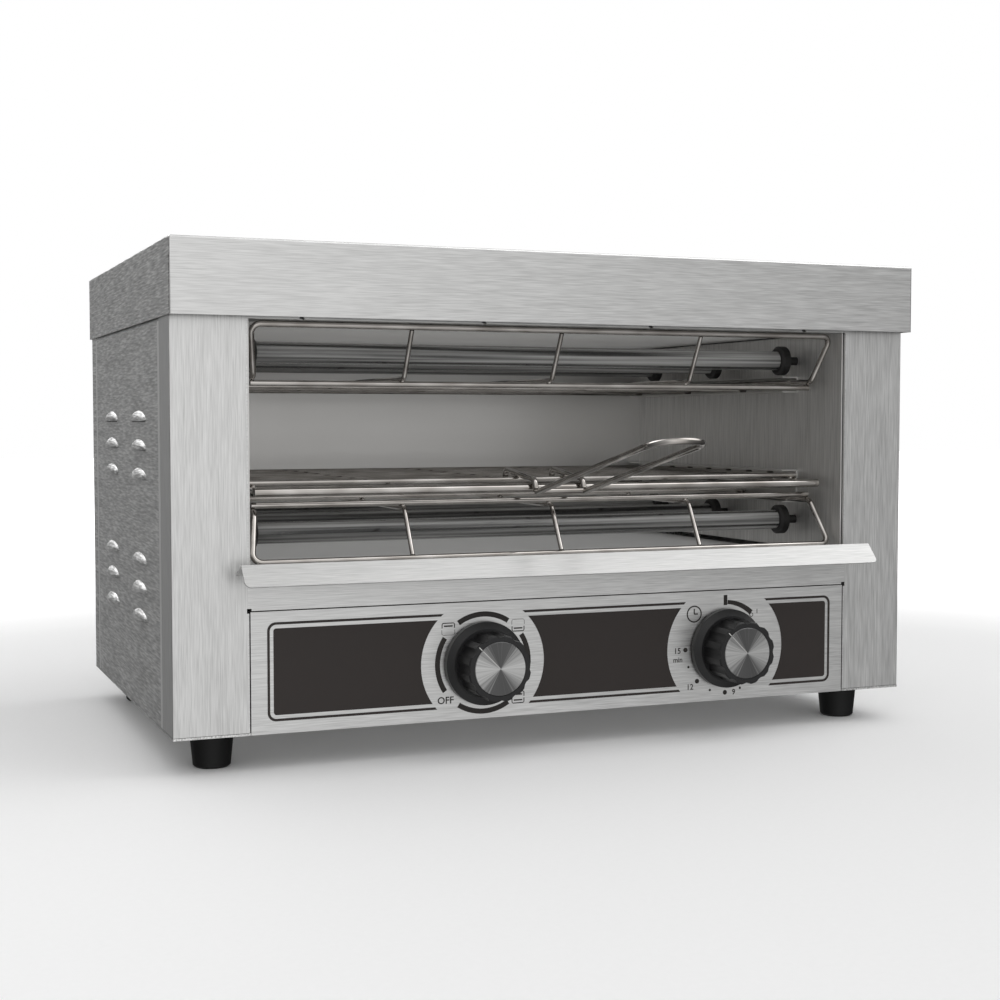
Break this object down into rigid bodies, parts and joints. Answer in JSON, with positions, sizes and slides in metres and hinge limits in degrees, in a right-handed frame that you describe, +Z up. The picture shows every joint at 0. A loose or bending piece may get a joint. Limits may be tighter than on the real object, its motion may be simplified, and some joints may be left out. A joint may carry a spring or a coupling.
{
  "type": "toaster",
  "caption": "Open-fronted countertop quartz toaster in brushed steel with wire guards, a sliding rack with a loop handle, crumb tray, heat selector and timer knobs.",
  "frame": {"origin": "on the floor, under the middle of the whole outline including the rack's handle", "axes": "+Z up, the open front and the knobs face -Y, +X to the right as seen from the front"},
  "size_m": [0.4538, 0.414, 0.278],
  "materials": {
    "casing_steel": "brushed stainless sheet, grain along each fold",
    "chamber_steel": "smooth stainless sheet, slightly heat tinted",
    "wire_chrome": "polished chrome-plated wire",
    "quartz": "clear fused quartz",
    "heater_core": "dark oxidised resistance wire",
    "black_ceramic": "unglazed black steatite",
    "black_plastic": "satin moulded phenolic",
    "spun_aluminium": "spun, bright",
    "label_film": "printed dark film",
    "rubber": "moulded rubber",
    "plated_screw": "zinc-plated",
    "switch_plastic": "moulded thermoset",
    "timer_case": "zinc-plated pressed case",
    "terminal_ceramic": "glazed porcelain"
  },
  "bodies": {
    "casing": {"base_pan": "casing_steel", "cable_bush": "black_plastic", "ceramic_caps_lower": "black_ceramic", "ceramic_caps_upper": "black_ceramic", "chamber_back": "chamber_steel", "chamber_floor": "chamber_steel", "chamber_wall_left": "chamber_steel", "chamber_wall_right": "chamber_steel", "control_label": "label_film", "control_panel": "casing_steel", "control_screws": "plated_screw", "cover_screws": "plated_screw", "element_pins": "plated_screw", "foot_fixings": "plated_screw", "front_frame": "casing_steel", "heater_cores_lower": "heater_core", "heater_cores_upper": "heater_core", "lower_guard_bars": "wire_chrome", "lower_guard_loop": "wire_chrome", "lower_guard_rails": "wire_chrome", "quartz_tubes_lower": "quartz", "quartz_tubes_upper": "quartz", "rear_panel": "casing_steel", "rear_screws": "plated_screw", "rubber_feet": "rubber", "runner_lower_left": "chamber_steel", "runner_lower_right": "chamber_steel", "runner_upper_left": "chamber_steel", "runner_upper_right": "chamber_steel", "selector_switch": "switch_plastic", "side_panel_left": "casing_steel", "side_panel_right": "casing_steel", "terminal_block": "terminal_ceramic", "timer_body": "timer_case", "top_cover": "casing_steel", "upper_guard_bars": "wire_chrome", "upper_guard_loop": "wire_chrome", "upper_guard_rails": "wire_chrome", "upper_reflector": "chamber_steel"},
    "toast_rack": {"rack_frame": "wire_chrome", "rack_rods": "wire_chrome", "rack_handle": "wire_chrome"},
    "crumb_tray": {"crumb_tray": "casing_steel"},
    "selector_dial": {"selector_knob": "black_plastic", "selector_disc": "spun_aluminium", "selector_shaft": "plated_screw"},
    "timer_dial": {"timer_knob": "black_plastic", "timer_disc": "spun_aluminium", "timer_shaft": "plated_screw"}
  },
  "joints": [
    {"name": "rack_slide", "type": "slide", "parent": "casing", "child": "toast_rack", "axis": [0, -1, 0], "range_m": [0, 0.19]},
    {"name": "tray_slide", "type": "slide", "parent": "casing", "child": "crumb_tray", "axis": [0, -1, 0], "range_m": [0, 0.24]},
    {"name": "selector_turn", "type": "hinge", "parent": "casing", "child": "selector_dial", "pos_m": [-0.052, -0.07, 0.051], "axis": [0, 1, 0], "continuous": true},
    {"name": "timer_turn", "type": "hinge", "parent": "casing", "child": "timer_dial", "pos_m": [0.1015, -0.07, 0.051], "axis": [0, 1, 0], "range_deg": [0, 315]}
  ]
}
